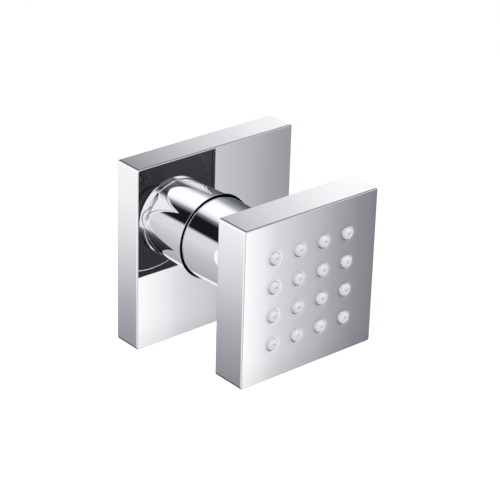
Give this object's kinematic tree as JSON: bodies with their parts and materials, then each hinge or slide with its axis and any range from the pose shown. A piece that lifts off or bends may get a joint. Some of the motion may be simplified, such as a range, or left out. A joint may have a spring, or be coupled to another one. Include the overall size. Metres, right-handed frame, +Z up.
{
  "type": "shower body jet",
  "caption": "Square chromed shower body jet: wall flange, round neck with a ball joint, and a square spray head with soft nozzles.",
  "frame": {"origin": "where the axis of the threaded tail meets the wall plane, at the back of the wall flange", "axes": "+Z up, +Y into the wall along the tail, so the water leaves along -Y"},
  "size_m": [0.06, 0.068, 0.06],
  "materials": {
    "chrome_plate": "polished chrome plating",
    "brass_chrome": "polished chrome plating on brass",
    "dark_plastic": "moulded dark grey plastic",
    "white_plastic": "moulded white plastic",
    "liner_plastic": "moulded natural plastic",
    "steel": "plain stainless steel",
    "brass": "plain turned brass",
    "black_rubber": "moulded black rubber",
    "silicone": "moulded pale silicone",
    "foam": "closed foam sheet"
  },
  "bodies": {
    "wall_side": {"wall_flange": "chrome_plate", "flange_backing": "white_plastic", "wall_gasket": "foam", "flange_ring": "black_rubber", "inlet_body": "brass_chrome", "tail_ring": "black_rubber", "inlet_filter": "steel", "flow_regulator": "white_plastic", "regulator_ring": "black_rubber", "seat_seal": "black_rubber", "retainer_nut": "brass_chrome"},
    "pan_liner": {"rear_liner": "liner_plastic", "ball_seal": "black_rubber"},
    "tilt_liner": {"front_liner": "liner_plastic"},
    "head": {"swivel_ball": "dark_plastic", "stem_washer": "black_rubber", "stem_nut": "brass", "head_cover": "chrome_plate", "chamber_seal": "black_rubber", "spray_plate": "white_plastic", "nozzle_mat": "silicone", "head_shell": "chrome_plate"}
  },
  "joints": [
    {"name": "head_pan", "type": "hinge", "parent": "wall_side", "child": "pan_liner", "pos_m": [0, -0.022, 0], "axis": [0, 0, 1], "range_deg": [-10, 10]},
    {"name": "head_tilt", "type": "hinge", "parent": "pan_liner", "child": "tilt_liner", "pos_m": [0, -0.022, 0], "axis": [1, 0, 0], "range_deg": [-10, 10]},
    {"name": "head_spin", "type": "hinge", "parent": "tilt_liner", "child": "head", "pos_m": [0, -0.022, 0], "axis": [0, 1, 0], "continuous": true}
  ]
}
